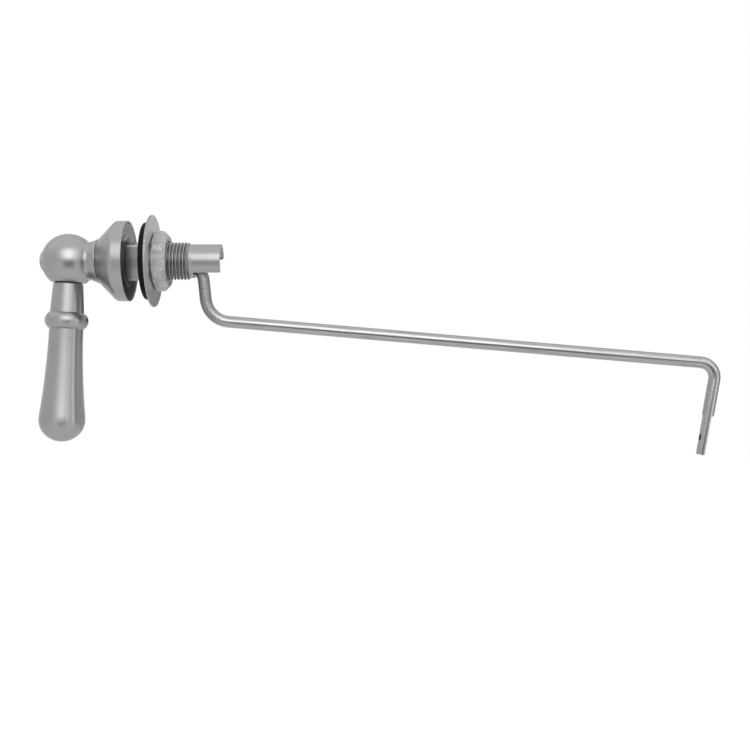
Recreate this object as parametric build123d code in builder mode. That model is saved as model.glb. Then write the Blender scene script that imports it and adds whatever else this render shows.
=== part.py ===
# Side-mount cistern lever: a turned lever on a ball hub outside the tank, a spindle through a
# threaded shank in the tank wall, and a bent rod inside the tank that lifts the flush valve's chain.
# Millimetres and degrees.  The origin is on the shaft axis where the escutcheon meets the tank wall.
# +X runs along the shaft into the tank and +Z is up.  The lever and the arm hang straight down.

import os
from math import cos, radians, sin, sqrt, tan

from build123d import *

# Shank: spigot, flange, square, left-hand thread and a tube that guards the arm's elbow
spigot_diameter = 14.0
spigot_recess = 0.6
flange_diameter = 21.6
flange_thickness = 2.2
flange_chamfer = 0.4
square_side = 14.8
square_corner = 0.5
square_turn = 12.0
square_length = 6.5
thread_diameter = 15.875
thread_length = 19.5
thread_chamfer = 0.9
guard_diameter = 14.2
guard_wall = 1.6
guard_length = 13.0
guard_corner = 1.1
window_length = 11.4
window_near_angle = 42.0
window_far_angle = 102.0

# Spindle: journal in the shank, head in its counterbore, square drive in the hub
journal_diameter = 8.0
journal_clearance = 0.05
bore_shoulder = 8.0
thrust_play = 0.2
head_length = 11.3
head_clearance = 0.3
drive_side = 6.0
drive_length = 8.0
drive_clearance = 0.06

# Escutcheon: hollow cone with a rounded shoulder, a thin rim and an inner boss on the shank's spigot
escutcheon_depth = 12.4
nose_diameter = 18.9
rim_diameter = 33.9
cone_angle = 45.3
shoulder_round = 2.2
rim_round = 0.2
rim_land = 0.5
escutcheon_wall = 1.8
boss_wall = 2.6
spigot_clearance = 0.05

# Hub: ball with a flared collar, a flat for the lever and a countersunk hole for the screw
ball_diameter = 23.0
hub_length = 12.9
hub_gap = 0.2
collar_length = 3.4
collar_round = 0.35
groove_diameter = 16.2
groove_fillet = 0.7
flat_depth = 9.0

# Lever: stud, neck, bead, flared grip and rounded end along its own leaning axis
lever_lean = 2.65
stud_diameter = 6.0
stud_length = 5.0
stud_clearance = 0.05
neck_length = 12.7
neck_top_diameter = 12.5
neck_shoulder = 1.3
neck_end_diameter = 14.0
bead_length = 7.0
bead_diameter = 18.0
waist_diameter = 14.7
waist_place = 11.8
swell_diameter = 16.0
swell_place = 22.0
flare_diameter = 18.65
flare_place = 35.3
grip_diameter = 19.2
grip_length = 38.5
grip_end_length = 9.2

# Screw that holds the hub on the spindle
screw_diameter = 4.0
screw_head_diameter = 8.3
screw_edge = 0.4
screw_dome = 1.25
screw_engagement = 8.6
screw_clearance = 0.05
tapping_spare = 2.0
recess_width = 4.4
recess_slot = 0.95
recess_depth = 1.7
recess_turn = 20.0

# Arm: one bent rod, from its socket in the spindle to the flattened tip with the chain hole
rod_diameter = 5.0
braze_gap = 0.05
socket_depth = 10.0
elbow_setback = 3.0
elbow_radius = 9.3
drop_length = 25.0
drop_lean = 5.7
drop_radius = 10.6
run_length = 216.4
run_slope = 4.9
tip_length = 39.2
tip_lean = 10.1
tip_radius = 6.3
tip_flat_length = 16.4
tip_far_flat = 1.0
tip_near_flat = 1.65
tip_shoulder = 1.2
tip_chamfer = 0.4
chain_hole_diameter = 2.8
chain_hole_place = 7.3

# Gasket, washer and nut that clamp the tank wall from inside
washer_clearance = 0.3
gasket_gap = 0.2
gasket_diameter = 32.5
gasket_thickness = 2.9
gasket_round = 0.5
washer_diameter = 38.7
washer_thickness = 0.9
washer_round = 0.2
nut_gap = 0.1
nut_across_flats = 22.2
nut_hex_turn = 6.5
nut_thickness = 6.3
nut_clearance = 0.05
nut_mouth = 0.6
nut_seat_circle = 23.4
nut_end_circle = 21.4

# Radii
spigot_radius = spigot_diameter / 2
flange_radius = flange_diameter / 2
thread_radius = thread_diameter / 2
guard_radius = guard_diameter / 2
guard_bore = guard_radius - guard_wall
journal_radius = journal_diameter / 2
head_radius = guard_bore - head_clearance
nose_radius = nose_diameter / 2
rim_radius = rim_diameter / 2
ball_radius = ball_diameter / 2
groove_radius = groove_diameter / 2
stud_radius = stud_diameter / 2
screw_radius = screw_diameter / 2
screw_head_radius = screw_head_diameter / 2
rod_radius = rod_diameter / 2
washer_bore = thread_radius + washer_clearance
nut_bore = thread_radius + nut_clearance

# Places along the shaft, from the ball to the end of the guard
collar_back = -escutcheon_depth - hub_gap
ball_place = collar_back - hub_length
drive_end = collar_back - drive_length
screw_end = drive_end + screw_engagement
spigot_end = -escutcheon_depth + spigot_recess
head_start = bore_shoulder + thrust_play
head_end = head_start + head_length
thread_end = square_length + thread_length
guard_end = thread_end + guard_length
window_start = guard_end - window_length
arm_start = head_end - socket_depth
gasket_start = square_length + gasket_gap
gasket_end = gasket_start + gasket_thickness
washer_end = gasket_end + washer_thickness
nut_start = washer_end + nut_gap
nut_end = nut_start + nut_thickness

# A plane across the shaft faces +X, with Y as its first axis and Z as its second
across_shaft = Plane(origin=(0, 0, 0), x_dir=(0, 1, 0), z_dir=(1, 0, 0))

# The lever's axis runs down from the ball's centre and leans away from the tank
ball_centre = (ball_place, 0, 0)
lever_line = Vector(-sin(radians(lever_lean)), 0, -cos(radians(lever_lean)))
lever_profile = Plane(origin=ball_centre, x_dir=lever_line, z_dir=(0, 1, 0))
lever_across = Plane(origin=ball_centre, x_dir=(0, 1, 0), z_dir=lever_line)

os.makedirs("parts", exist_ok=True)


def save(piece, name):
    piece.part.label = name
    export_step(piece.part, f"parts/{name}.step")


def onward(start, heading, length):
    # The point of the X-Z plane reached from start, with the heading turned up from +X
    return (start[0] + length * cos(radians(heading)), start[1] + length * sin(radians(heading)))


# Shank
with BuildPart() as shank:
    with BuildSketch(Plane.XZ):
        with BuildLine():
            Polyline(
                (spigot_end, 0),
                (spigot_end, spigot_radius),
                (-flange_thickness, spigot_radius),
                (-flange_thickness, flange_radius),
                (-flange_chamfer, flange_radius),
                (0, flange_radius - flange_chamfer),
                (0, 0),
                close=True,
            )
        make_face()
        with BuildLine():
            Polyline(
                (square_length, 0),
                (square_length, thread_radius),
                (thread_end - thread_chamfer, thread_radius),
                (thread_end, guard_radius),
                (guard_end, guard_radius),
                (guard_end, 0),
                close=True,
            )
        make_face()
    revolve(axis=Axis.X)
    with BuildSketch(across_shaft):
        RectangleRounded(square_side, square_side, square_corner, rotation=square_turn)
    extrude(amount=square_length)
    with BuildSketch(across_shaft.offset(spigot_end)):
        Circle(journal_radius + journal_clearance)
    extrude(amount=bore_shoulder - spigot_end, mode=Mode.SUBTRACT)
    with BuildSketch(across_shaft.offset(bore_shoulder)):
        Circle(guard_bore)
    extrude(amount=guard_end - bore_shoulder, mode=Mode.SUBTRACT)
    # The window lets the arm's elbow swing out of the guard, and its two edges are the stops
    window_angle = window_near_angle + window_far_angle
    window_corners = [(0, 0)]
    for share in (0, 1 / 3, 2 / 3, 1):
        turn = radians(share * window_angle - window_near_angle)
        window_corners.append((guard_diameter * sin(turn), -guard_diameter * cos(turn)))
    with BuildSketch(across_shaft.offset(window_start)):
        with BuildLine():
            Polyline(*window_corners, close=True)
        make_face()
    extrude(amount=window_length, mode=Mode.SUBTRACT)
    far_corner = shank.edges().filter_by(GeomType.LINE).group_by(Axis.X)[-1].sort_by(Axis.Z)[-1]
    fillet(far_corner, guard_corner)
save(shank, "shank")

# Spindle
with BuildPart() as spindle:
    with BuildSketch(Plane.XZ):
        with BuildLine():
            Polyline(
                (collar_back, 0),
                (collar_back, journal_radius),
                (head_start, journal_radius),
                (head_start, head_radius),
                (head_end, head_radius),
                (head_end, 0),
                close=True,
            )
        make_face()
    revolve(axis=Axis.X)
    with BuildSketch(across_shaft.offset(drive_end)):
        Rectangle(drive_side, drive_side)
        Circle(journal_radius, mode=Mode.INTERSECT)
    extrude(amount=drive_length)
    with BuildSketch(across_shaft.offset(drive_end)):
        Circle(screw_radius + screw_clearance)
    extrude(amount=screw_engagement + tapping_spare, mode=Mode.SUBTRACT)
    with BuildSketch(across_shaft.offset(arm_start)):
        Circle(rod_radius + braze_gap)
    extrude(amount=socket_depth, mode=Mode.SUBTRACT)
save(spindle, "spindle")

# Escutcheon
boss_radius = spigot_radius + boss_wall
cavity_radius = rim_radius - escutcheon_wall
bore_radius = spigot_radius + spigot_clearance
cone_run = 1 / tan(radians(cone_angle))
cone_start = -escutcheon_depth - nose_radius * cone_run
cavity_start = cone_start + escutcheon_wall / sin(radians(cone_angle))
shoulder_place = cone_start + rim_radius * cone_run
with BuildPart() as escutcheon:
    with BuildSketch(Plane.XZ):
        with BuildLine():
            Polyline(
                (-escutcheon_depth, bore_radius),
                (-escutcheon_depth, nose_radius),
                (shoulder_place, rim_radius),
                (0, rim_radius),
                (0, rim_radius - rim_land),
                (cavity_start + cavity_radius * cone_run, cavity_radius),
                (cavity_start + boss_radius * cone_run, boss_radius),
                (-flange_thickness, boss_radius),
                (-flange_thickness, bore_radius),
                close=True,
            )
        make_face()
    revolve(axis=Axis.X)
    outer_rings = escutcheon.edges().filter_by(GeomType.CIRCLE).group_by(SortBy.RADIUS)[-1]
    shoulder_ring, rim_ring = outer_rings.sort_by(Axis.X)
    fillet(shoulder_ring, shoulder_round)
    fillet(rim_ring, rim_round)
save(escutcheon, "escutcheon")

# Hub
ball_end = ball_place + sqrt(ball_radius**2 - groove_radius**2)
groove_end = collar_back - collar_length
screw_seat = ball_place - sqrt(ball_radius**2 - screw_head_radius**2)
screw_neck = screw_seat + screw_head_radius - screw_radius
with BuildPart() as handle_hub:
    with BuildSketch(Plane.XZ):
        with BuildLine():
            ThreePointArc(
                (ball_place - ball_radius, 0),
                (ball_place, ball_radius),
                (ball_end, groove_radius),
            )
            Polyline(
                (ball_end, groove_radius),
                (groove_end, groove_radius),
                (collar_back, nose_radius),
                (collar_back, 0),
                (ball_place - ball_radius, 0),
            )
        make_face()
    revolve(axis=Axis.X)
    rings = handle_hub.edges().filter_by(GeomType.CIRCLE).filter_by(Plane.YZ).sort_by(Axis.X)
    fillet(rings[0], groove_fillet)
    fillet(rings[-1], collar_round)
    # Flat under the ball for the lever's shoulder, and the hole for its stud
    with BuildSketch(lever_across.offset(flat_depth)):
        Circle(ball_radius)
    extrude(amount=ball_radius, mode=Mode.SUBTRACT)
    with BuildSketch(lever_across.offset(flat_depth)):
        Circle(stud_radius + stud_clearance)
    extrude(amount=-stud_length - stud_clearance, mode=Mode.SUBTRACT)
    # Square socket for the spindle, and the countersunk hole for the screw
    socket_side = drive_side + 2 * drive_clearance
    with BuildSketch(across_shaft.offset(collar_back)):
        Rectangle(socket_side, socket_side)
    extrude(amount=-drive_length - drive_clearance, mode=Mode.SUBTRACT)
    with BuildSketch(Plane.XZ):
        with BuildLine():
            Polyline(
                (ball_place - ball_radius, 0),
                (ball_place - ball_radius, screw_head_radius + screw_clearance),
                (screw_seat, screw_head_radius + screw_clearance),
                (screw_neck, screw_radius + screw_clearance),
                (drive_end, screw_radius + screw_clearance),
                (drive_end, 0),
                close=True,
            )
        make_face()
    revolve(axis=Axis.X, mode=Mode.SUBTRACT)
save(handle_hub, "handle_hub")

# Lever, turned from one bar
stud_top = flat_depth - stud_length
neck_radius = neck_top_diameter / 2
neck_end_radius = neck_end_diameter / 2
bead_start = flat_depth + neck_length
bead_end = bead_start + bead_length
grip_place = bead_end + grip_length
lever_tip = grip_place + grip_end_length
with BuildPart() as handle_lever:
    with BuildSketch(lever_profile):
        with BuildLine():
            Polyline(
                (stud_top, 0),
                (stud_top, stud_radius),
                (flat_depth, stud_radius),
                (flat_depth, neck_radius - neck_shoulder),
            )
            RadiusArc(
                (flat_depth, neck_radius - neck_shoulder),
                (flat_depth + neck_shoulder, neck_radius),
                neck_shoulder,
            )
            Line((flat_depth + neck_shoulder, neck_radius), (bead_start, neck_end_radius))
            ThreePointArc(
                (bead_start, neck_end_radius),
                (bead_start + bead_length / 2, bead_diameter / 2),
                (bead_end, neck_end_radius),
            )
            Spline(
                (bead_end, neck_end_radius),
                (bead_end + waist_place, waist_diameter / 2),
                (bead_end + swell_place, swell_diameter / 2),
                (bead_end + flare_place, flare_diameter / 2),
                (grip_place, grip_diameter / 2),
                tangents=((1, 0), (1, 0)),
            )
            EllipticalCenterArc((grip_place, 0), grip_end_length, grip_diameter / 2, 0, arc_size=90)
            Line((lever_tip, 0), (stud_top, 0))
        make_face()
    revolve(axis=Axis(ball_centre, lever_line))
save(handle_lever, "handle_lever")

# Screw with a domed countersunk head
screw_rim = screw_seat - screw_edge
screw_tip = screw_rim - screw_dome
dome_radius = (screw_head_radius**2 + screw_dome**2) / (2 * screw_dome)
with BuildPart() as handle_screw:
    with BuildSketch(Plane.XZ):
        with BuildLine():
            RadiusArc((screw_tip, 0), (screw_rim, screw_head_radius), dome_radius)
            Polyline(
                (screw_rim, screw_head_radius),
                (screw_seat, screw_head_radius),
                (screw_neck, screw_radius),
                (screw_end, screw_radius),
                (screw_end, 0),
                (screw_tip, 0),
            )
        make_face()
    revolve(axis=Axis.X)
    with BuildSketch(across_shaft.offset(screw_tip)):
        Rectangle(recess_width, recess_slot, rotation=recess_turn)
        Rectangle(recess_slot, recess_width, rotation=recess_turn)
    extrude(amount=recess_depth, mode=Mode.SUBTRACT)
save(handle_screw, "handle_screw")

# Arm
elbow = (window_start + elbow_setback, 0)
drop_corner = onward(elbow, drop_lean - 90, drop_length)
tip_corner = onward(drop_corner, -run_slope, run_length)
tip_end = onward(tip_corner, -90 - tip_lean, tip_length)
tip_line = Vector(sin(radians(tip_lean)), 0, cos(radians(tip_lean)))
tip_profile = Plane(origin=(tip_end[0], 0, tip_end[1]), x_dir=tip_line, z_dir=(0, 1, 0))
hole_centre = tip_profile.from_local_coords((chain_hole_place, 0, 0))
with BuildPart() as arm_rod:
    with BuildLine(Plane.XZ) as arm_path:
        FilletPolyline(
            (arm_start, 0),
            elbow,
            drop_corner,
            tip_corner,
            tip_end,
            radius=[elbow_radius, drop_radius, tip_radius],
        )
    with BuildSketch(across_shaft.offset(arm_start)):
        Circle(rod_radius)
    sweep(path=arm_path.line)
    # The tip is flattened on both sides, deeper on the side away from the lever
    with BuildSketch(tip_profile):
        for side, flat in ((1, tip_far_flat), (-1, tip_near_flat)):
            with BuildLine():
                Polyline(
                    (-rod_radius, side * flat),
                    (tip_flat_length, side * flat),
                    (tip_flat_length + tip_shoulder, side * rod_radius),
                    (tip_flat_length + tip_shoulder, side * rod_diameter),
                    (-rod_radius, side * rod_diameter),
                    close=True,
                )
            make_face()
    extrude(amount=rod_diameter, both=True, mode=Mode.SUBTRACT)
    end_face = arm_rod.faces().sort_by(Axis((0, 0, 0), tip_line))[0]
    chamfer(end_face.edges(), tip_chamfer)
    with BuildSketch(Plane(origin=hole_centre, z_dir=tip_profile.y_dir)):
        Circle(chain_hole_diameter / 2)
    extrude(amount=rod_diameter, both=True, mode=Mode.SUBTRACT)
save(arm_rod, "arm_rod")

# Gasket
with BuildPart() as gasket:
    with BuildSketch(across_shaft.offset(gasket_start)):
        Circle(gasket_diameter / 2)
        Circle(washer_bore, mode=Mode.SUBTRACT)
    extrude(amount=gasket_thickness)
    gasket_rim = gasket.faces().filter_by(GeomType.CYLINDER).sort_by(SortBy.AREA)[-1]
    fillet(gasket_rim.edges().filter_by(GeomType.CIRCLE), gasket_round)
save(gasket, "gasket")

# Washer
with BuildPart() as washer:
    with BuildSketch(across_shaft.offset(gasket_end)):
        Circle(washer_diameter / 2)
        Circle(washer_bore, mode=Mode.SUBTRACT)
    extrude(amount=washer_thickness)
    washer_rim = washer.faces().filter_by(GeomType.CYLINDER).sort_by(SortBy.AREA)[-1]
    fillet(washer_rim.edges().filter_by(GeomType.CIRCLE), washer_round)
save(washer, "washer")

# Nut: a hexagon with a corner near the top, turned to a cone at both ends
nut_corner = nut_across_flats / 2 / cos(radians(30))
seat_radius = nut_seat_circle / 2
end_radius = nut_end_circle / 2
with BuildPart() as nut:
    with BuildSketch(across_shaft.offset(nut_start)):
        RegularPolygon(nut_across_flats / 2, 6, major_radius=False, rotation=30 + nut_hex_turn)
    extrude(amount=nut_thickness)
    with BuildSketch(Plane.XZ):
        with BuildLine():
            Polyline(
                (nut_start, nut_bore + nut_mouth),
                (nut_start, seat_radius),
                (nut_start + nut_corner - seat_radius, nut_corner),
                (nut_end - nut_corner + end_radius, nut_corner),
                (nut_end, end_radius),
                (nut_end, nut_bore + nut_mouth),
                (nut_end - nut_mouth, nut_bore),
                (nut_start + nut_mouth, nut_bore),
                close=True,
            )
        make_face()
    revolve(axis=Axis.X, mode=Mode.INTERSECT)
save(nut, "nut")
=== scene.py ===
import math

import bmesh
import bpy
import numpy as np
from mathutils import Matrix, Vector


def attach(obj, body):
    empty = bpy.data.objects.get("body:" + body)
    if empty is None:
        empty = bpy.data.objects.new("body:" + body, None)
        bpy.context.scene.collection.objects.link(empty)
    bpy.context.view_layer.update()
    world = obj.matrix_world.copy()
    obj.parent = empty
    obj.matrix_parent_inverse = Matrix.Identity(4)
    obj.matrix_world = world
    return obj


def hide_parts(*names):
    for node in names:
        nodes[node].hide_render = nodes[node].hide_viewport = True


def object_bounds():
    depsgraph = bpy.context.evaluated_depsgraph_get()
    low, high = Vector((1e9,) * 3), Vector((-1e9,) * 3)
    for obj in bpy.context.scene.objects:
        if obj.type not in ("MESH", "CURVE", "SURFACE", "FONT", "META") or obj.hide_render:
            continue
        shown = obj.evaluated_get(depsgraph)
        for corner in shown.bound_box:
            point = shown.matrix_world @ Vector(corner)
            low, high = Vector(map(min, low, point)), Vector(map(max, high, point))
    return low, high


# Side-mount cistern lever in satin nickel: materials for the solids, a shank and a nut with their
# left-hand threads, and a white studio around them. All is in metres in the frame of the solids, while
# sizes in the dictionaries are in mm.
mm = 0.001
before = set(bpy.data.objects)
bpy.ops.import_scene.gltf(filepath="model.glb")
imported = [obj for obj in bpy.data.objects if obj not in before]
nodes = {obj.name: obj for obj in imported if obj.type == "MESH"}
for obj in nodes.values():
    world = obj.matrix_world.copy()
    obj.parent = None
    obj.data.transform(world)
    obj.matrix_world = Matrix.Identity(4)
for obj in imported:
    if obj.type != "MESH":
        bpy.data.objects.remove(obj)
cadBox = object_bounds()
scene = bpy.context.scene
white = (1, 1, 1, 1)
print("frame: nodes", len(nodes))


def linear(hexColour):
    # sRGB hex to linear RGBA, channel by channel
    srgb = np.array([int(hexColour[i:i + 2], 16) for i in (1, 3, 5)]) / 255
    rgb = np.where(srgb <= 0.04045, srgb / 12.92, ((srgb + 0.055) / 1.055) ** 2.4)
    return (*rgb.tolist(), 1.0)


def addNode(tree, kind, inputs=None, **settings):
    # One node with its settings; an input is a value, or another node's output to link from
    node = tree.nodes.new(kind)
    for name, value in settings.items():
        setattr(node, name, value)
    for name, value in (inputs or {}).items():
        if isinstance(value, bpy.types.NodeSocket):
            tree.links.new(value, node.inputs[name])
        else:
            node.inputs[name].default_value = value
    return node


def newMaterial(name):
    # An empty material with its output node
    material = bpy.data.materials.new(name)
    material.use_nodes = True
    tree = material.node_tree
    tree.nodes.clear()
    return material, tree, addNode(tree, "ShaderNodeOutputMaterial")


def perMm(size):
    # Texture scale for a pattern of this size in mm
    return 1 / (size * mm)


def shaftParts(tree, place):
    # Place along the shaft, and distance from its axis
    part = addNode(tree, "ShaderNodeSeparateXYZ", {"Vector": place})
    across = addNode(tree, "ShaderNodeCombineXYZ", {"X": part.outputs["Y"], "Y": part.outputs["Z"]})
    radius = addNode(tree, "ShaderNodeVectorMath", {0: across.outputs["Vector"]}, operation="LENGTH")
    return part.outputs["X"], radius.outputs["Value"]


def linesRound(tree, place, look):
    # Brush coordinates round the shaft: fine along it and outwards, with a slow drift that breaks the
    # lines up
    along, radius = shaftParts(tree, place)
    fine, slow = perMm(look["grain"]), perMm(look["reach"])
    ring = addNode(tree, "ShaderNodeCombineXYZ", {"X": along, "Y": radius})
    rings = addNode(tree, "ShaderNodeVectorMath", {0: ring.outputs["Vector"], 1: (fine, fine, 0)},
                    operation="MULTIPLY")
    drift = addNode(tree, "ShaderNodeVectorMath", {0: place, 1: (slow, slow, slow)}, operation="MULTIPLY")
    both = addNode(tree, "ShaderNodeVectorMath", {0: rings.outputs["Vector"], 1: drift.outputs["Vector"]},
                   operation="ADD")
    return both.outputs["Vector"]


def linesAlong(tree, place, turn, along, across):
    # Brush coordinates about one direction, turned down from +X by so many degrees: the pattern's size
    # in mm along it and across it
    lines = addNode(tree, "ShaderNodeMapping", {
        "Vector": place,
        "Rotation": (0, math.radians(turn), 0),
        "Scale": (along * mm, across * mm, across * mm),
    }, vector_type="TEXTURE")
    return lines.outputs["Vector"]


def drifting(tree, place, look):
    # Tone that drifts slowly between the darker and the lighter one
    cloud = addNode(tree, "ShaderNodeTexNoise", {
        "Vector": place,
        "Scale": perMm(look["cloud"]),
        "Detail": look["cloudDetail"],
    })
    tone = addNode(tree, "ShaderNodeMix", {
        "Factor": cloud.outputs["Fac"],
        "A": linear(look["dark"]),
        "B": linear(look["light"]),
    }, data_type="RGBA")
    return tone.outputs["Result"]


def brushGrain(tree, lines, look):
    # The brush lines as heights, and the roughness that goes with them; the coordinates already carry
    # the pattern's size
    grain = addNode(tree, "ShaderNodeTexNoise", {
        "Vector": lines,
        "Scale": 1.0,
        "Detail": look["grainDetail"],
    }).outputs["Fac"]
    low, high = look["roughness"]
    polish = addNode(tree, "ShaderNodeMapRange", {"Value": grain, "To Min": low, "To Max": high})
    return grain, polish.outputs["Result"]


stretchTurn = 0.25  # of a whole turn, from the shader's own tangent round Z to one along Z


def finishMetal(tree, output, look, tone, roughness, height, metallic=1.0):
    # Bare or plated metal: all it shows is a reflection, tinted by the tone and broken by the relief
    bump = addNode(tree, "ShaderNodeBump", {
        "Height": height,
        "Strength": look["bump"],
        "Distance": look["relief"] * mm,
    })
    shader = addNode(tree, "ShaderNodeBsdfPrincipled", {
        "Base Color": tone,
        "Metallic": metallic,
        "Roughness": roughness,
        "Anisotropic": look["stretch"],
        "Anisotropic Rotation": stretchTurn,
        "Normal": bump.outputs["Normal"],
    })
    tree.links.new(shader.outputs["BSDF"], output.inputs["Surface"])


def makeBrushed(name, look, turn=None):
    # Brushed metal, with its lines round an axis that is turned down from +X, or round the shaft
    material, tree, output = newMaterial(name)
    place = addNode(tree, "ShaderNodeTexCoord").outputs["Object"]
    if turn is None:
        lines = linesRound(tree, place, look)
    else:
        lines = linesAlong(tree, place, turn, look["grain"], look["reach"])
    grain, polish = brushGrain(tree, lines, look)
    finishMetal(tree, output, look, drifting(tree, place, look), polish, grain)
    return material


# Satin nickel plate, blasted and lightly brushed: mid grey, soft-edged reflections and a faint grain
# along the brush
satin = {
    "light": "#a3a3a3",
    "dark": "#9b9b9b",
    "cloud": 14.0,  # mm, slow drift of tone over the plating
    "cloudDetail": 3.0,
    "grain": 0.4,  # mm, the brush lines drawn coarse enough to show
    "grainDetail": 2.0,
    "reach": 9.0,  # mm, length of a brush line
    "roughness": (0.27, 0.35),
    "bump": 0.12,
    "relief": 0.01,  # mm
    "stretch": 0.0,  # how far reflections are drawn out along Z, across the brush lines
}
# The same plate on the lever, which was polished as it spun: rings too fine to show one by one blur its
# reflections along it and leave them crisp across it
spun = dict(satin, roughness=(0.28, 0.34), stretch=0.8)
# Bright nickel plate on the screw: the same metal with sharper reflections
bright = dict(satin, roughness=(0.2, 0.28), bump=0.05)
# Turned brass on the hidden spindle: yellow, with fine rings from the tool
brass = dict(satin, light="#c9ab68", dark="#b99a58", roughness=(0.2, 0.32), bump=0.2)

leverTurn = 92.65  # degrees down from +X, the lever's own axis
nodes["handle_lever"].data.materials[0] = makeBrushed("satin nickel plate, spun", spun, leverTurn)
nodes["handle_hub"].data.materials[0] = makeBrushed("satin nickel plate, brushed round", satin)
nodes["handle_screw"].data.materials[0] = makeBrushed("bright nickel plate", bright)
nodes["spindle"].data.materials[0] = makeBrushed("turned brass", brass)

# Escutcheon: satin nickel outside, and inside a dull cast skin that the polish never reached, with
# painted light at its top and painted shade at its foot
shell = dict(
    satin,
    rim=16.95,  # mm, the rim's radius
    nose=9.45,  # mm, the cone's radius at its narrow end
    depth=12.4,  # mm from the narrow end to the rim's plane
    slope=math.tan(math.radians(45.3)),  # mm outwards for each mm along the shaft
    skin=(0.45, 0.75),  # mm under the outside, where the cast skin begins
    # painted light at the top of the inside, and painted shade at its foot
    paintedLightTop="#fafafa",
    paintedShadeFoot="#747474",
    castRoughness=0.6,
)


def makeShell(name, look):
    material, tree, output = newMaterial(name)
    place = addNode(tree, "ShaderNodeTexCoord").outputs["Object"]
    along, radius = shaftParts(tree, place)
    # Depth under the outside: the cone's radius here, at most the rim's, less the point's own
    cone = addNode(tree, "ShaderNodeMath", {
        0: along,
        1: look["slope"],
        2: (look["nose"] + look["depth"] * look["slope"]) * mm,
    }, operation="MULTIPLY_ADD")
    outside = addNode(tree, "ShaderNodeMath", {0: cone.outputs["Value"], 1: look["rim"] * mm},
                      operation="MINIMUM")
    under = addNode(tree, "ShaderNodeMath", {0: outside.outputs["Value"], 1: radius},
                    operation="SUBTRACT")
    first, last = look["skin"]
    inside = addNode(tree, "ShaderNodeMapRange", {
        "Value": under.outputs["Value"],
        "From Min": first * mm,
        "From Max": last * mm,
    }).outputs["Result"]
    grain, polish = brushGrain(tree, linesRound(tree, place, look), look)
    rough = addNode(tree, "ShaderNodeMix", {"Factor": inside, "A": polish, "B": look["castRoughness"]})
    # Painted light and shade: the cast skin is painted pale at the top and dark at the foot
    height = addNode(tree, "ShaderNodeSeparateXYZ", {"Vector": place}).outputs["Z"]
    raised = addNode(tree, "ShaderNodeMapRange", {
        "Value": height,
        "From Min": -look["nose"] * mm,
        "From Max": look["nose"] * mm,
    })
    skin = addNode(tree, "ShaderNodeMix", {
        "Factor": raised.outputs["Result"],
        "A": linear(look["paintedShadeFoot"]),
        "B": linear(look["paintedLightTop"]),
    }, data_type="RGBA")
    tone = addNode(tree, "ShaderNodeMix", {
        "Factor": inside,
        "A": drifting(tree, place, look),
        "B": skin.outputs["Result"],
    }, data_type="RGBA")
    bare = addNode(tree, "ShaderNodeMath", {0: 1.0, 1: inside}, operation="SUBTRACT").outputs["Value"]
    finishMetal(tree, output, look, tone.outputs["Result"], rough.outputs["Result"], grain, bare)
    return material


nodes["escutcheon"].data.materials[0] = makeShell("satin nickel plate over a cast shell", shell)

# Arm, drawn steel wire with a thin plate: crisp bright and dark bands, and drawing streaks that follow
# its bends
wire = {
    "light": "#acacac",
    "dark": "#909090",
    "grain": 0.4,  # mm across a streak
    "reach": 14.0,  # mm along it
    "streakDetail": 3.0,
    "streakRoughness": 0.65,
    "contrast": (0.3, 0.65),  # levels of the streaks that become the dark and the light tone
    "roughness": (0.18, 0.29),
    "bump": 0.18,
    "relief": 0.012,  # mm
    "stretch": 0.0,
    "turns": (84.3, 4.9, 100.1),  # degrees down from +X: the drop, the run and the tip
    "bends": (37.5, 244.5),  # mm along X, where one direction gives way to the next
    "bendReach": 3.0,  # mm to each side
    "blotch": 1.0,  # mm, handling marks on the two legs
    "blotchDetail": 4.0,
    "blotchContrast": (0.35, 0.65),
    "blotchShare": 0.25,  # of the tone on the legs, the rest is streaks
    "dropRoughness": 0.42,
    "dropShade": 0.7,  # share of its tone that the drop keeps, as painted shade
}


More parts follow.
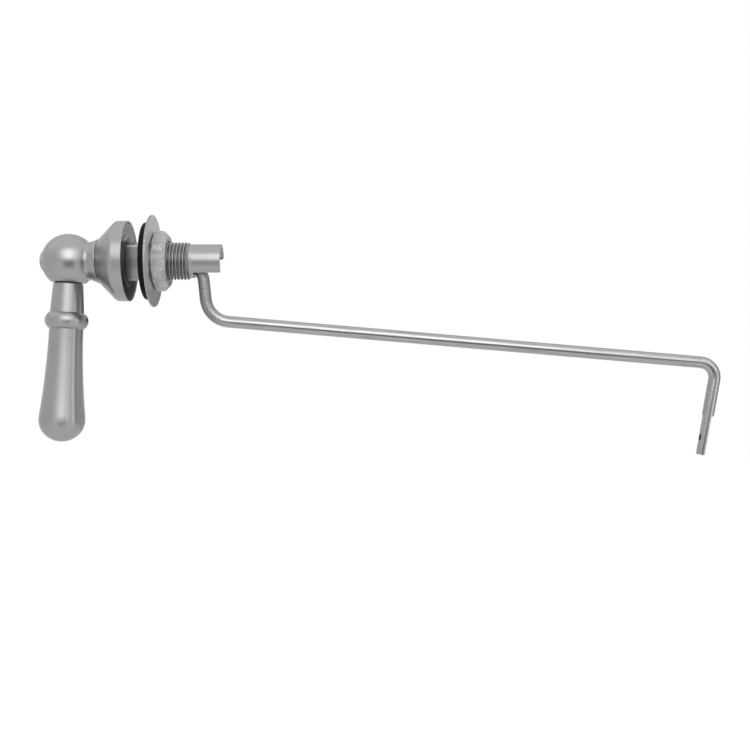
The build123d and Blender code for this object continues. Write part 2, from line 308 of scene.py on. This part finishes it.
def makeWire(name, look):
    material, tree, output = newMaterial(name)
    place = addNode(tree, "ShaderNodeTexCoord").outputs["Object"]
    along = shaftParts(tree, place)[0]
    drop, run, tip = [
        linesAlong(tree, place, turn, look["reach"], look["grain"]) for turn in look["turns"]
    ]
    # 0 on one side of a bend and 1 on the other
    past = [addNode(tree, "ShaderNodeMapRange", {
        "Value": along,
        "From Min": (bend - look["bendReach"]) * mm,
        "From Max": (bend + look["bendReach"]) * mm,
    }).outputs["Result"] for bend in look["bends"]]
    first = addNode(tree, "ShaderNodeMix", {"Factor": past[0], "A": drop, "B": run}, data_type="VECTOR")
    lines = addNode(tree, "ShaderNodeMix", {"Factor": past[1], "A": first.outputs["Result"], "B": tip},
                    data_type="VECTOR")
    streak = addNode(tree, "ShaderNodeTexNoise", {
        "Vector": lines.outputs["Result"],
        "Scale": 1.0,
        "Detail": look["streakDetail"],
        "Roughness": look["streakRoughness"],
    }).outputs["Fac"]
    # Handling marks show on the drop and on the tip
    blotch = addNode(tree, "ShaderNodeTexNoise", {
        "Vector": place,
        "Scale": perMm(look["blotch"]),
        "Detail": look["blotchDetail"],
    })
    least, most = look["blotchContrast"]
    marks = addNode(tree, "ShaderNodeMapRange", {
        "Value": blotch.outputs["Fac"],
        "From Min": least,
        "From Max": most,
    })
    leg = addNode(tree, "ShaderNodeMath", {0: 1.0, 1: past[0]}, operation="SUBTRACT")
    legs = addNode(tree, "ShaderNodeMath", {0: leg.outputs["Value"], 1: past[1]}, operation="MAXIMUM")
    share = addNode(tree, "ShaderNodeMath", {0: legs.outputs["Value"], 1: look["blotchShare"]},
                    operation="MULTIPLY")
    mottle = addNode(tree, "ShaderNodeMix", {
        "Factor": share.outputs["Value"],
        "A": streak,
        "B": marks.outputs["Result"],
    })
    least, most = look["contrast"]
    spread = addNode(tree, "ShaderNodeMapRange", {
        "Value": mottle.outputs["Result"],
        "From Min": least,
        "From Max": most,
    }).outputs["Result"]
    tone = addNode(tree, "ShaderNodeMix", {
        "Factor": spread,
        "A": linear(look["dark"]),
        "B": linear(look["light"]),
    }, data_type="RGBA")
    # Painted shade: the drop's tone is darkened, and the drop is duller than the rest
    shade = addNode(tree, "ShaderNodeMapRange", {
        "Value": leg.outputs["Value"],
        "To Min": 1.0,
        "To Max": look["dropShade"],
    })
    darkened = addNode(tree, "ShaderNodeVectorMath", {0: tone.outputs["Result"], 3: shade.outputs["Result"]},
                   operation="SCALE")
    low, high = look["roughness"]
    polish = addNode(tree, "ShaderNodeMapRange", {"Value": spread, "To Min": high, "To Max": low})
    rough = addNode(tree, "ShaderNodeMix", {
        "Factor": leg.outputs["Value"],
        "A": polish.outputs["Result"],
        "B": look["dropRoughness"],
    })
    finishMetal(tree, output, look, darkened.outputs["Vector"], rough.outputs["Result"], streak)
    return material


nodes["arm_rod"].data.materials[0] = makeWire("drawn steel wire, plated", wire)

# Die-cast zinc on the nut: pale and dull, with scrapes from the mould along the shaft and small pits
castZinc = {
    "light": "#c6c6c6",
    "dark": "#a0a0a0",
    "grain": 1.2,  # mm across a scrape
    "reach": 7.0,  # mm along it
    "mottleDetail": 5.0,
    "mottleRoughness": 0.7,
    "contrast": (0.35, 0.65),  # levels of the mottle that become the dark and the light tone
    "pit": 0.35,  # mm
    "pitDetail": 2.0,
    "pitLevels": (0.36, 0.46),  # from a pit's floor to the skin round it
    "pitShade": 0.3,  # share of its tone that a pit loses
    "edge": 30.0,  # mm from the axis, where a sheared edge begins
    "edgeShade": 1.0,  # share of its tone that the edge keeps
    "roughness": (0.4, 0.5),
    "bump": 0.2,
    "relief": 0.03,  # mm
    "stretch": 0.0,
}
# Zinc plate on the stamped washer: paler zinc, mottled finely and evenly, and darker on its sheared edge
plateZinc = dict(castZinc, light="#dcdcdc", dark="#bebebe", grain=0.9, reach=0.9, roughness=(0.42, 0.52),
                 edge=19.2, edgeShade=0.58)


def makeZinc(name, look):
    material, tree, output = newMaterial(name)
    place = addNode(tree, "ShaderNodeTexCoord").outputs["Object"]
    scrapes = linesAlong(tree, place, 0, look["reach"], look["grain"])
    mottle = addNode(tree, "ShaderNodeTexNoise", {
        "Vector": scrapes,
        "Scale": 1.0,
        "Detail": look["mottleDetail"],
        "Roughness": look["mottleRoughness"],
    }).outputs["Fac"]
    speck = addNode(tree, "ShaderNodeTexNoise", {
        "Vector": place,
        "Scale": perMm(look["pit"]),
        "Detail": look["pitDetail"],
    })
    floor, skin = look["pitLevels"]
    pits = addNode(tree, "ShaderNodeMapRange", {
        "Value": speck.outputs["Fac"],
        "From Min": floor,
        "From Max": skin,
        "To Min": 1 - look["pitShade"],
        "To Max": 1.0,
    }).outputs["Result"]
    least, most = look["contrast"]
    spread = addNode(tree, "ShaderNodeMapRange", {"Value": mottle, "From Min": least, "From Max": most})
    tone = addNode(tree, "ShaderNodeMix", {
        "Factor": spread.outputs["Result"],
        "A": linear(look["dark"]),
        "B": linear(look["light"]),
    }, data_type="RGBA")
    radius = shaftParts(tree, place)[1]
    sheared = addNode(tree, "ShaderNodeMath", {0: radius, 1: look["edge"] * mm}, operation="GREATER_THAN")
    shade = addNode(tree, "ShaderNodeMapRange", {
        "Value": sheared.outputs["Value"],
        "To Min": 1.0,
        "To Max": look["edgeShade"],
    })
    darkened = addNode(tree, "ShaderNodeMath", {0: pits, 1: shade.outputs["Result"]}, operation="MULTIPLY")
    pitted = addNode(tree, "ShaderNodeVectorMath", {0: tone.outputs["Result"], 3: darkened.outputs["Value"]},
                     operation="SCALE")
    low, high = look["roughness"]
    polish = addNode(tree, "ShaderNodeMapRange", {"Value": mottle, "To Min": high, "To Max": low})
    height = addNode(tree, "ShaderNodeMath", {0: mottle, 1: pits}, operation="MULTIPLY")
    finishMetal(tree, output, look, pitted.outputs["Vector"], polish.outputs["Result"],
                height.outputs["Value"])
    return material


nutZinc = makeZinc("die-cast zinc", castZinc)
nodes["washer"].data.materials[0] = makeZinc("zinc plate on stamped steel", plateZinc)

# Moulded black rubber: near black, matt, with a fine grain and a little grey bloom
rubber = {
    "dark": "#060606",
    "bloom": "#161616",
    "cloud": 3.0,  # mm
    "cloudDetail": 4.0,
    "contrast": (0.35, 0.7),  # levels of the cloud that become the dark tone and the bloom
    "grain": 0.3,  # mm
    "grainDetail": 2.0,
    "roughness": (0.5, 0.68),
    "specular": 0.12,
    "bump": 0.35,
    "relief": 0.04,  # mm
}


def makeRubber(name, look):
    material, tree, output = newMaterial(name)
    place = addNode(tree, "ShaderNodeTexCoord").outputs["Object"]
    cloud, grain = [addNode(tree, "ShaderNodeTexNoise", {
        "Vector": place,
        "Scale": perMm(look[pattern]),
        "Detail": look[pattern + "Detail"],
    }).outputs["Fac"] for pattern in ("cloud", "grain")]
    least, most = look["contrast"]
    spread = addNode(tree, "ShaderNodeMapRange", {"Value": cloud, "From Min": least, "From Max": most})
    tone = addNode(tree, "ShaderNodeMix", {
        "Factor": spread.outputs["Result"],
        "A": linear(look["dark"]),
        "B": linear(look["bloom"]),
    }, data_type="RGBA")
    low, high = look["roughness"]
    matt = addNode(tree, "ShaderNodeMapRange", {"Value": cloud, "To Min": low, "To Max": high})
    bump = addNode(tree, "ShaderNodeBump", {
        "Height": grain,
        "Strength": look["bump"],
        "Distance": look["relief"] * mm,
    })
    shader = addNode(tree, "ShaderNodeBsdfPrincipled", {
        "Base Color": tone.outputs["Result"],
        "Roughness": matt.outputs["Result"],
        "Specular IOR Level": look["specular"],
        "Normal": bump.outputs["Normal"],
    })
    tree.links.new(shader.outputs["BSDF"], output.inputs["Surface"])
    return material


nodes["gasket"].data.materials[0] = makeRubber("moulded black rubber", rubber)

# Shank: satin nickel on cut brass, with painted shade in the thread's roots, and a duller flange with
# painted shade below and painted light at its top
bar = dict(
    satin,
    roughness=(0.29, 0.38),
    # painted shade in the thread's roots
    root="#848484",
    crestRadius=7.94,  # mm
    rootRadius=7.1,
    threadEnd=26.0,  # mm along the shaft
    dullEnds=(1.5, 0.2),  # mm along the shaft, from the square's plate to the full painted shade
    # painted shade on the flange, with painted light at its top
    dullShaded="#686868",
    paintedLight="#bdbdbd",
    paintedLightHeight=(7.0, 8.5),  # mm over the axis, where the flange turns pale with painted light
    dullRoughness=0.55,
)


def makeBar(name, look):
    material, tree, output = newMaterial(name)
    place = addNode(tree, "ShaderNodeTexCoord").outputs["Object"]
    along, radius = shaftParts(tree, place)
    grain, polish = brushGrain(tree, linesRound(tree, place, look), look)
    # 1 in the thread's root, 0 on its crest and past its end
    root = addNode(tree, "ShaderNodeMapRange", {
        "Value": radius,
        "From Min": look["crestRadius"] * mm,
        "From Max": look["rootRadius"] * mm,
    })
    onThread = addNode(tree, "ShaderNodeMath", {0: along, 1: look["threadEnd"] * mm},
                       operation="LESS_THAN")
    groove = addNode(tree, "ShaderNodeMath", {0: root.outputs["Result"], 1: onThread.outputs["Value"]},
                     operation="MULTIPLY")
    # 1 on the flange, 0 along the square
    clean, stained = look["dullEnds"]
    dullShaded = addNode(tree, "ShaderNodeMapRange", {
        "Value": along,
        "From Min": clean * mm,
        "From Max": stained * mm,
    }).outputs["Result"]
    # Painted shade darkens the thread's roots
    plate = addNode(tree, "ShaderNodeMix", {
        "Factor": groove.outputs["Value"],
        "A": drifting(tree, place, look),
        "B": linear(look["root"]),
    }, data_type="RGBA")
    # Painted shade and light: the flange is painted dark, and pale at its top
    first, last = look["paintedLightHeight"]
    raised = addNode(tree, "ShaderNodeMapRange", {
        "Value": addNode(tree, "ShaderNodeSeparateXYZ", {"Vector": place}).outputs["Z"],
        "From Min": first * mm,
        "From Max": last * mm,
    })
    flangeLightAndShade = addNode(tree, "ShaderNodeMix", {
        "Factor": raised.outputs["Result"],
        "A": linear(look["dullShaded"]),
        "B": linear(look["paintedLight"]),
    }, data_type="RGBA")
    tone = addNode(tree, "ShaderNodeMix", {
        "Factor": dullShaded,
        "A": plate.outputs["Result"],
        "B": flangeLightAndShade.outputs["Result"],
    }, data_type="RGBA")
    rough = addNode(tree, "ShaderNodeMix", {"Factor": dullShaded, "A": polish, "B": look["dullRoughness"]})
    finishMetal(tree, output, look, tone.outputs["Result"], rough.outputs["Result"], grain)
    return material


barNickel = makeBar("satin nickel plate on cut brass", bar)
print("materials: done")


sharpAngle = 38  # degrees between two faces, over which their edge stays crisp


def ringMesh(name, places, radii, turns, keep=None, extra=None):
    # Rows of (place along the shaft, radius) at each turn, closed both ways: along the rows and round the
    # shaft. Turn 0 is straight down and grows towards +Y: y = radius sin(turn), z = -radius cos(turn).
    rows, columns = places.shape
    points = np.stack([places, radii * np.sin(turns), -radii * np.cos(turns)], -1).reshape(-1, 3) * mm
    row, column = np.mgrid[0:rows, 0:columns]
    nextRow, nextColumn = (row + 1) % rows, (column + 1) % columns
    quads = np.stack([
        row * columns + column,
        row * columns + nextColumn,
        nextRow * columns + nextColumn,
        nextRow * columns + column,
    ], -1)
    quads = quads[keep] if keep is not None else quads.reshape(-1, 4)
    if extra is not None:
        quads = np.concatenate([quads, extra])
    used, corners = np.unique(quads, return_inverse=True)
    mesh = bpy.data.meshes.new(name)
    mesh.from_pydata(points[used].tolist(), [], corners.reshape(-1, 4).tolist())
    surface = bmesh.new()
    surface.from_mesh(mesh)
    bmesh.ops.recalc_face_normals(surface, faces=surface.faces[:])
    surface.to_mesh(mesh)
    surface.free()
    mesh.shade_smooth()
    mesh.set_sharp_from_angle(angle=math.radians(sharpAngle))
    piece = bpy.data.objects.new(name, mesh)
    scene.collection.objects.link(piece)
    return piece


def profileRows(profile, columns):
    # Points of a profile, each (place, radius) as numbers or as one value a column, to rows of places and
    # rows of radii
    spread = np.ones(columns)
    return [np.array([point[part] * spread for point in profile]) for part in (0, 1)]


# The left-hand thread that the shank and the nut share
thread = {
    "pitch": 25.4 / 18,  # 18 to the inch
    "major": 15.875,
    "depth": 0.87,
    "flatness": 1.1,  # how far the crest and the root are flattened
    "start": 0.4,  # turns, where the groove meets the near side
    "stations": 18,  # rows in one pitch
}


def threadCrest(place, turns):
    # 1 on the crest and 0 in the root: a cosine of the turn and the place, flattened at both ends
    phase = place / thread["pitch"] + turns / (2 * np.pi) + thread["start"]
    wave = np.tanh(thread["flatness"] * np.cos(2 * np.pi * phase))
    return 0.5 + 0.5 * wave / math.tanh(thread["flatness"])


# Shank, cut from one bar: spigot, flange, square, thread, and the guard with the window for the arm.
# Round sizes are diameters; starts, ends and shoulders are places along the shaft.
shank = {
    "spigot": 14.0,
    "spigotEnd": -11.8,
    "flange": 21.6,
    "flangeThickness": 2.2,
    "flangeChamfer": 0.4,
    "square": 14.8,
    "squareCorner": 0.5,
    "squareTurn": 12.0,  # degrees about the shaft
    "squareLength": 6.5,
    "threadEnd": 26.0,
    "threadChamfer": 0.9,
    "guard": 14.2,
    "guardBore": 11.0,
    "guardEnd": 39.0,
    "guardCorner": 1.1,
    "windowStart": 27.6,
    "windowNear": 42.0,  # degrees from straight down, towards the camera
    "windowFar": 102.0,  # degrees from straight down, away from it
    "bore": 8.1,
    "boreShoulder": 8.0,
    "step": 1.5,  # degrees between columns
}


def makeShank(size):
    columns = round(360 / size["step"])
    degrees = np.arange(columns) * size["step"]
    turns = np.radians(degrees)
    guard, guardBore, bore = size["guard"] / 2, size["guardBore"] / 2, size["bore"] / 2
    spigot, flange, chamfer = size["spigot"] / 2, size["flange"] / 2, size["flangeChamfer"]
    # Square with round corners: flat side / cosine, or the far crossing with the corner's circle
    half, corner = size["square"] / 2, size["squareCorner"]
    across = abs(np.sin(turns - math.radians(size["squareTurn"])))
    upright = abs(np.cos(turns - math.radians(size["squareTurn"])))
    large, both = np.maximum(across, upright), across + upright
    inset = half - corner
    onSide = half * (both - large) / large <= inset
    squareRoot = np.sqrt(np.maximum((inset * both) ** 2 - 2 * inset ** 2 + corner ** 2, 0))
    square = np.where(onSide, half / large, inset * both + squareRoot)
    # Thread: full at the guard's end, running out at the square, with a cone over its end
    threadRows = round((size["threadEnd"] - size["squareLength"]) / thread["pitch"] * thread["stations"])
    place = np.linspace(size["squareLength"], size["threadEnd"], threadRows)[:, None]
    runOut = np.clip((place - size["squareLength"]) / thread["pitch"], 0, 1)
    crest = threadCrest(place, turns)
    major = thread["major"] / 2
    cone = guard + (size["threadEnd"] - place) * (major - guard) / size["threadChamfer"]
    threadRadius = np.minimum(major - thread["depth"] * (1 - crest) * runOut, cone)
    # The guard's end is rounded beside the far edge of the window
    past = np.radians(degrees - size["windowFar"]) * guard
    beside = np.clip(size["guardCorner"] - past, 0, size["guardCorner"])
    beside[degrees < size["windowFar"]] = 0
    guardEnd = size["guardEnd"] - size["guardCorner"] + np.sqrt(size["guardCorner"] ** 2 - beside ** 2)
    head = [
        (size["spigotEnd"], bore),
        (size["spigotEnd"], spigot),
        (-size["flangeThickness"], spigot),
        (-size["flangeThickness"], flange),
        (-chamfer, flange),
        (0, flange - chamfer),
        (0, square),
        (size["squareLength"], square),
    ]
    tail = [
        (size["windowStart"], guard),
        (guardEnd, guard),
        (guardEnd, guardBore),
        (size["windowStart"], guardBore),
        (size["boreShoulder"], guardBore),
        (size["boreShoulder"], bore),
    ]
    headPlaces, headRadii = profileRows(head, columns)
    tailPlaces, tailRadii = profileRows(tail, columns)
    places = np.concatenate([headPlaces, place * np.ones(columns), tailPlaces])
    radii = np.concatenate([headRadii, threadRadius, tailRadii])
    # The window's faces come out in three bands, and its two edges and its start get walls
    bands = 3  # the guard's outside, its end and its bore
    outer = len(head) + threadRows
    inner = outer + bands
    signed = (degrees + 180) % 360 - 180
    inWindow = (signed >= -size["windowNear"]) & (signed < size["windowFar"])
    keep = np.ones(places.shape, bool)
    keep[outer:inner, inWindow] = False
    first = np.where(inWindow)[0]
    second = (first + 1) % columns
    start = np.stack([outer * columns + first, outer * columns + second,
                      inner * columns + second, inner * columns + first], -1)
    edges = [round((angle % 360) / size["step"]) for angle in (size["windowFar"], -size["windowNear"])]
    walls = np.array([[row * columns + edge for row in range(outer, inner + 1)] for edge in edges])
    return ringMesh("threaded_shank", places, radii, turns, keep, np.concatenate([start, walls]))


threadedShank = makeShank(shank)
threadedShank.data.materials.append(barNickel)
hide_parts("shank")
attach(threadedShank, "shank")
print("shank: faces", len(threadedShank.data.polygons))

# Hexagon nut, die-cast: a low round boss on its seat, a cone over the corners at both ends and the thread
# in its bore
nut = {
    "start": 10.6,  # its seat's place along the shaft
    "thickness": 6.3,
    "acrossFlats": 22.2,
    "turned": 6.5,  # degrees about the shaft, from a corner straight up
    "corner": 0.35,  # rounding of the six corners
    "boss": 20.4,
    "bossHeight": 0.4,
    "edge": 0.15,  # chamfer round the hexagon's seat side
    "seatCircle": 22.7,  # where the seat side's cone starts on the corners
    "seatSlope": 1.8,  # mm out for each mm along the shaft
    "endCircle": 21.2,  # where the end's cone meets the end
    "play": 0.09,  # radial, between the two threads
    "mouth": 0.6,  # depth of the cones that open the bore
    "step": 1.5,  # degrees between columns
    "rows": 56,  # along the hexagon
}


def makeNut(size):
    columns = round(360 / size["step"])
    around = np.radians(np.arange(columns) * size["step"])
    turns = around + math.radians(size["turned"])
    # Hexagon: flat side / cosine, or the far crossing with the corner's circle
    flat, corner = size["acrossFlats"] / 2, size["corner"]
    side = math.pi / 3  # the turn that one side takes up
    fold = np.abs((around + side / 2) % side - side / 2)
    away = side / 2 - fold
    inset = (flat - corner) / math.cos(side / 2)
    inCorner = np.tan(away) > (flat - corner) / flat * math.tan(side / 2)
    reach = inset * np.cos(fold) + np.sqrt(np.maximum(corner ** 2 - (inset * np.sin(fold)) ** 2, 0))
    hexagon = np.where(inCorner, reach, flat / np.cos(away))
    # Boss, then the hexagon between two cones: steep at the seat, one for one at the end
    boss, edge = size["boss"] / 2, size["edge"]
    seat = size["start"] + size["bossHeight"]
    end = size["start"] + size["thickness"]
    seatCircle = size["seatCircle"] / 2
    head = [(size["start"], boss), (seat, boss), (seat, np.minimum(hexagon - edge, seatCircle))]
    place = np.linspace(seat + edge, end, size["rows"])[:, None]
    seatCone = seatCircle + size["seatSlope"] * (place - seat)
    outer = np.minimum(np.minimum(hexagon, seatCone), size["endCircle"] / 2 + end - place)
    # Bore: the thread, opened by a cone at both mouths
    major = thread["major"] / 2 + size["play"]
    threadRows = round(size["thickness"] / thread["pitch"] * thread["stations"])
    back = np.linspace(end, size["start"], threadRows)[:, None]
    mouth = major + size["mouth"] - np.minimum(back - size["start"], end - back)
    bore = np.maximum(major - thread["depth"] * (1 - threadCrest(back, turns)), mouth)
    headPlaces, headRadii = profileRows(head, columns)
    spread = np.ones(columns)
    places = np.concatenate([headPlaces, place * spread, back * spread])
    radii = np.concatenate([headRadii, outer, bore])
    return ringMesh("threaded_nut", places, radii, turns)


threadedNut = makeNut(nut)
threadedNut.data.materials.append(nutZinc)
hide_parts("nut")
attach(threadedNut, "nut")
print("nut: faces", len(threadedNut.data.polygons))

# White studio: paper far below the lever, soft boxes over the camera, a strip on the right, and grey
# cards that only the reflections show. Glow is for the camera, shine for reflections, light for all else.
studio = {
    "floorDrop": 260.0,  # mm from the lowest point of the lever to the paper
    "floorReach": 3000.0,  # mm
    "paper": "#f4f4f4",
    "paperGlow": 0.45,
    "paperShine": 0.1,
    "paperLight": 0.0,
    "roomGlow": 1.0,
    "roomShine": 0.87,
    "roomLight": 0.65,
}
# A card's azimuths and elevations in degrees, the distances of its foot and its head in metres, and its
# level
cards = {
    "lens card": ((-9, 34), (-30, 1.5), (0.6, 1.8), 0.25),  # the dark under each highlight
    "side card": ((84, 102), (-28, 22), (0.9, 0.9), 0.5),  # the grip's dark line on the right
    "far side card": ((106, 185), (-25, 30), (0.8, 0.8), 0.68),  # greyer right edges
    "neck card": ((136, 194), (-17, -1), (0.1, 0.1), 0.05),  # the neck's dark right edge
}
# A soft box's azimuths and elevations in degrees, its distance in metres, and its radiance
boxes = {
    "main box": ((-16, 47), (4, 50), 2.0, 0.75),  # the broad highlight
    "core box": ((-6, 27), (3, 42), 0.7, 1.0),  # its bright core
    "wide box": ((-32, 64), (5, 54), 2.0, 0.3),  # its soft border
    "right strip": ((66, 75), (-18, 10), 0.52, 1.1),  # the second, narrow highlight
    "top box": ((-60, 60), (60, 120), 2.0, 0.28),  # paler tops
}


def towards(azimuth, elevation, distance):
    # A place seen from the origin: azimuth 0 is straight in front, plus to the right; degrees and metres
    turn, rise = math.radians(azimuth), math.radians(elevation)
    level = distance * math.cos(rise)
    return (level * math.sin(turn), -level * math.cos(turn), distance * math.sin(rise))


def byRay(tree, seen, mirrored, otherwise):
    # One level for camera rays, one for reflections, and one for the light that is given off
    path = addNode(tree, "ShaderNodeLightPath")
    shine = addNode(tree, "ShaderNodeMapRange", {
        "Value": path.outputs["Is Glossy Ray"],
        "To Min": otherwise,
        "To Max": mirrored,
    })
    level = addNode(tree, "ShaderNodeMix", {
        "Factor": path.outputs["Is Camera Ray"],
        "A": shine.outputs["Result"],
        "B": seen,
    })
    return level.outputs["Result"]


def addSheet(name, corners, material):
    # Four corners in order make one flat sheet
    mesh = bpy.data.meshes.new(name)
    mesh.from_pydata(corners, [], [(0, 1, 2, 3)])
    mesh.materials.append(material)
    sheet = bpy.data.objects.new(name, mesh)
    scene.collection.objects.link(sheet)
    return sheet


def makePaper(look):
    # White paper that also glows a little for the camera, so that it ends in white
    material, tree, output = newMaterial("white studio paper")
    diffuse = addNode(tree, "ShaderNodeBsdfDiffuse", {"Color": linear(look["paper"])})
    glow = addNode(tree, "ShaderNodeEmission", {
        "Color": white,
        "Strength": byRay(tree, look["paperGlow"], look["paperShine"], look["paperLight"]),
    })
    both = addNode(tree, "ShaderNodeAddShader", {0: diffuse.outputs["BSDF"], 1: glow.outputs["Emission"]})
    tree.links.new(both.outputs["Shader"], output.inputs["Surface"])
    return material


def addCard(name, azimuths, elevations, distances, level):
    # A flat card with its foot at one elevation and distance and its head at another
    material, tree, output = newMaterial(name)
    glow = addNode(tree, "ShaderNodeEmission", {"Color": white, "Strength": level})
    tree.links.new(glow.outputs["Emission"], output.inputs["Surface"])
    foot, head = zip(elevations, distances)
    corners = [towards(azimuth, *foot) for azimuth in azimuths]
    corners += [towards(azimuth, *head) for azimuth in reversed(azimuths)]
    card = addSheet(name, corners, material)
    card.visible_camera = False
    card.visible_diffuse = False
    card.visible_shadow = False


def addBox(name, azimuths, elevations, distance, radiance):
    # A soft box that faces the origin; its power is radiance times pi times area
    wide, high = [(last - first) / 2 for first, last in (azimuths, elevations)]
    lamp = bpy.data.lights.new(name, "AREA")
    lamp.shape = "RECTANGLE"
    lamp.size = 2 * distance * math.tan(math.radians(wide))
    lamp.size_y = 2 * distance * math.tan(math.radians(high))
    lamp.energy = radiance * math.pi * lamp.size * lamp.size_y
    holder = bpy.data.objects.new(name, lamp)
    holder.location = towards(azimuths[0] + wide, elevations[0] + high, distance)
    holder.rotation_euler = (-holder.location).to_track_quat("-Z", "Y").to_euler()
    holder.visible_camera = False
    scene.collection.objects.link(holder)


floorHeight = cadBox[0].z - studio["floorDrop"] * mm
reach = studio["floorReach"] * mm
addSheet("paper", [
    (-reach, -reach, floorHeight),
    (reach, -reach, floorHeight),
    (reach, reach, floorHeight),
    (-reach, reach, floorHeight),
], makePaper(studio))
for name, setting in cards.items():
    addCard(name, *setting)
for name, setting in boxes.items():
    addBox(name, *setting)

# The room is white where it is seen, nearly white in a reflection, and dimmer as a light
world = bpy.data.worlds.new("white studio")
scene.world = world
world.use_nodes = True
air = world.node_tree
air.nodes.clear()
sky = addNode(air, "ShaderNodeBackground", {
    "Color": white,
    "Strength": byRay(air, studio["roomGlow"], studio["roomShine"], studio["roomLight"]),
})
addNode(air, "ShaderNodeOutputWorld", {"Surface": sky.outputs["Background"]})
print("studio: done")

# Camera straight at the side of the lever; the shaft's level and the photo's centre set its place
camera = {
    "pixel": 0.4233,  # mm in the plane of the shaft
    "focal": 1080.0,  # pixels
    "image": 750.0,  # pixels
    "shaftAt": (129.6, 261.2),  # pixel of the frame's origin
    "sensor": 36.0,  # mm
}
half = camera["image"] / 2
eye = bpy.data.cameras.new("camera")
eye.sensor_width = camera["sensor"]
eye.lens = camera["sensor"] * camera["focal"] / camera["image"]
eyeObject = bpy.data.objects.new("camera", eye)
eyeObject.location = (
    (half - camera["shaftAt"][0]) * camera["pixel"] * mm,
    -camera["focal"] * camera["pixel"] * mm,
    (camera["shaftAt"][1] - half) * camera["pixel"] * mm,
)
eyeObject.rotation_euler = (math.pi / 2, 0, 0)
scene.collection.objects.link(eyeObject)
scene.camera = eyeObject
scene.view_settings.view_transform = "Standard"
